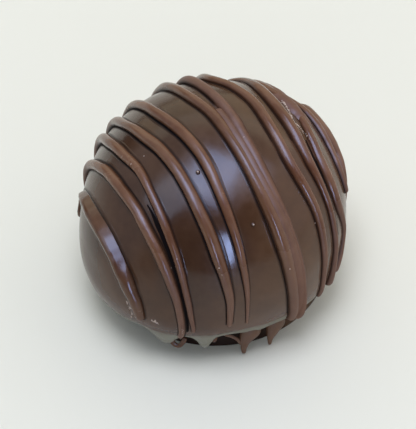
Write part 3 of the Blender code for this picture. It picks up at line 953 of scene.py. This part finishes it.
# three sizes of one window, so that its edges are soft in the coating
for growth in (0.8, 1.0, 1.2):
    size = (0.50 * growth, 0.66 * growth)
    add_panel("window_core", (-0.05, -0.13, 1.0), size, 7.6, (0.42, 0.58, 1.0), "shine")
add_panel("window_left", (-0.74, -0.32, 1.0), (0.70, 1.1), 2.6, (0.62, 0.74, 1.0), "shine")
add_panel("window_right", (0.48, 0.0, 1.0), (0.6, 0.75), 1.7, (0.70, 0.72, 1.0), "shine")
add_panel("window_front", (0.15, -0.95, 0.33), (0.16, 0.42), 23.0, (0.42, 0.57, 1.0), "shine")
add_panel("ceiling", (0.0, 0.38, 1.15), (3.0, 2.0), 0.50, (1.0, 0.97, 0.95))
add_panel("back_wall", (0.1, 1.2, 0.62), (2.6, 1.1), 0.85, (1.0, 0.92, 0.70))
add_panel("left_wall", (-1.3, 0.0, 0.45), (1.9, 0.9), 0.50, (0.70, 0.85, 1.0))
add_panel("right_wall", (1.3, 0.0, 0.5), (2.2, 1.0), 0.85, (1.0, 0.96, 0.98))
add_panel("front_wall", (0.0, -1.3, 0.5), (2.2, 0.9), 0.75, (0.95, 0.98, 1.0), "even")

# %% [markdown]
# The camera looks steeply down at the truffle from half a metre away. Its angle and its lens were
# worked out from the outline and from the run of the strands. Its aim is given as the place of the
# truffle's axis in the picture, in pixels, because that is what can be read off a picture.

# %% Camera
ELEVATION = math.radians(48.7)
CAMERA_DISTANCE = 0.5
PICTURE_SIZE = (416, 429)
PIXELS_PER_METRE = 7300
AXIS_PIXEL = (215.3, 205.4)
SENSOR_WIDTH = 36.0

right = Vector((1.0, 0.0, 0.0))
up = Vector((0.0, math.sin(ELEVATION), math.cos(ELEVATION)))
back = Vector((0.0, -math.cos(ELEVATION), math.sin(ELEVATION)))
middle = Vector(AXIS) + Vector((0.0, 0.0, BELLY_LEVEL * MM))
aim = middle - right * ((AXIS_PIXEL[0] - PICTURE_SIZE[0] / 2) / PIXELS_PER_METRE)
aim = aim + up * ((AXIS_PIXEL[1] - PICTURE_SIZE[1] / 2) / PIXELS_PER_METRE)
camera_data = bpy.data.cameras.new("camera")
camera = bpy.data.objects.new("camera", camera_data)
bpy.context.collection.objects.link(camera)
camera.location = aim + back * CAMERA_DISTANCE
camera.rotation_euler = (-back).to_track_quat("-Z", "Y").to_euler()
camera_data.sensor_width = SENSOR_WIDTH
camera_data.lens = SENSOR_WIDTH * CAMERA_DISTANCE * PIXELS_PER_METRE / PICTURE_SIZE[1]
camera_data.clip_start = 0.01
bpy.context.scene.camera = camera
bpy.context.scene.view_settings.view_transform = "Standard"
print("camera lens", round(camera_data.lens, 1), "mm")

# %% [markdown]
# ## Small marks
# Handling leaves marks: two pimples where air came up through the coating, each with a pale fleck
# on top that is a painted highlight, single pale grains, and crackled scuffs where a strand's edge
# was rubbed. Each is placed where it is seen, by following the camera's view through that place
# until it meets the chocolate.

# %% Places of the marks
# mm to the right of the truffle's axis and up from its widest level, as the camera sees them
PIMPLES = ((-2.37, 4.51), (5.16, -2.62))
GRAINS = (
    (-11.55, 5.67), (-9.77, 6.77), (3.93, 9.37), (13.66, -2.41), (0.92, -9.53),
    (10.23, -8.71), (0.51, -8.58), (-6.07, -8.58), (-5.25, -7.34),
)
# line of a scuff, number of flakes on it and their size in mm
SCUFFS = (
    (((9.14, 14.30), (9.68, 13.62), (10.10, 12.93), (10.51, 11.97)), 60, 0.11),
    (((10.51, 11.97), (11.19, 11.15), (11.88, 10.19), (12.97, 9.10)), 44, 0.085),
    (((-12.10, -13.10), (-11.82, -13.92), (-11.41, -14.74), (-11.55, -15.42)), 40, 0.095),
    (((-8.81, -15.70), (-8.26, -15.90), (-7.71, -16.25)), 22, 0.095),
    (((-5.32, -16.93), (-5.25, -17.75), (-4.84, -18.44), (-4.42, -17.89), (-4.42, -17.07)), 34, 0.04),
)


def seen_point(sideways, upward):
    """Place on the chocolate that the camera sees there, and its outward direction."""
    target = middle + right * (sideways * MM) + up * (upward * MM)
    view = (target - camera.location).normalized()
    hits = [piece.ray_cast(camera.location, view) for piece in (coating, *strands.values())]
    hits = [(hit, normal) for found, hit, normal, _ in hits if found]
    return min(hits, key=lambda item: (item[0] - camera.location).length)


# %% Make the marks
PIMPLE_SIZE = 0.32
# size of the painted highlight fleck on top of each pimple
HIGHLIGHT_FLECK_SIZE = 0.13
GRAIN_SIZE = 0.085
SCATTER = 0.06
# pale colour of the flakes, grains and scuffs, and of the painted highlights on the pimples
FLAKE_AND_HIGHLIGHT_COLOUR = (0.50, 0.40, 0.35, 1.0)
dice = np.random.default_rng(7)


def add_flake_or_highlight(sideways, upward, size, lift=0.0):
    """Small flat fleck of paler chocolate lying on the surface, or a painted highlight on a pimple.
    """
    place, outward = seen_point(sideways, upward)
    place = place + outward * (lift * MM)
    spin = outward.to_track_quat("Z", "Y").to_euler()
    stretch = size * MM * dice.uniform(0.6, 1.5, 3)
    stretch[2] = 0.5 * size * MM
    settings = {"location": place, "rotation": spin, "scale": stretch}
    bpy.ops.mesh.primitive_ico_sphere_add(subdivisions=1, **settings)
    return bpy.context.object


flakes_and_highlights = [add_flake_or_highlight(sideways, upward, GRAIN_SIZE) for sideways, upward in GRAINS]
# the pale flecks on the pimples are painted highlights
flakes_and_highlights += [add_flake_or_highlight(sideways, upward, HIGHLIGHT_FLECK_SIZE, PIMPLE_SIZE) for sideways, upward in PIMPLES]
for line, count, size in SCUFFS:
    line = np.array(line)
    knots = np.arange(len(line), dtype=float)
    for share in np.sort(dice.uniform(0.0, knots[-1], count)):
        sideways = np.interp(share, knots, line[:, 0]) + dice.normal(0.0, SCATTER)
        upward = np.interp(share, knots, line[:, 1]) + dice.normal(0.0, SCATTER)
        flakes_and_highlights.append(add_flake_or_highlight(sideways, upward, size * dice.uniform(0.5, 1.2)))
bpy.ops.object.select_all(action="DESELECT")
for flake_or_highlight in flakes_and_highlights:
    flake_or_highlight.select_set(True)
bpy.context.view_layer.objects.active = flakes_and_highlights[0]
bpy.ops.object.join()
finish_piece(flakes_and_highlights[0], "pale_flakes_and_highlights")
flakes_and_highlights[0].data.materials.append(make_plain("pale_flake_and_highlight", FLAKE_AND_HIGHLIGHT_COLOUR, 0.6))

# %% Make the pimples
pimples = []
for sideways, upward in PIMPLES:
    place, _ = seen_point(sideways, upward)
    settings = {"segments": 32, "ring_count": 20, "radius": PIMPLE_SIZE * MM}
    bpy.ops.object.select_all(action="DESELECT")
    bpy.ops.mesh.primitive_uv_sphere_add(location=place, **settings)
    pimples.append(finish_piece(bpy.context.object, f"pimple_{len(pimples) + 1}"))
    pimples[-1].data.materials.append(chocolate)
print("flakes_and_highlights", len(flakes_and_highlights), "pimples", len(pimples))
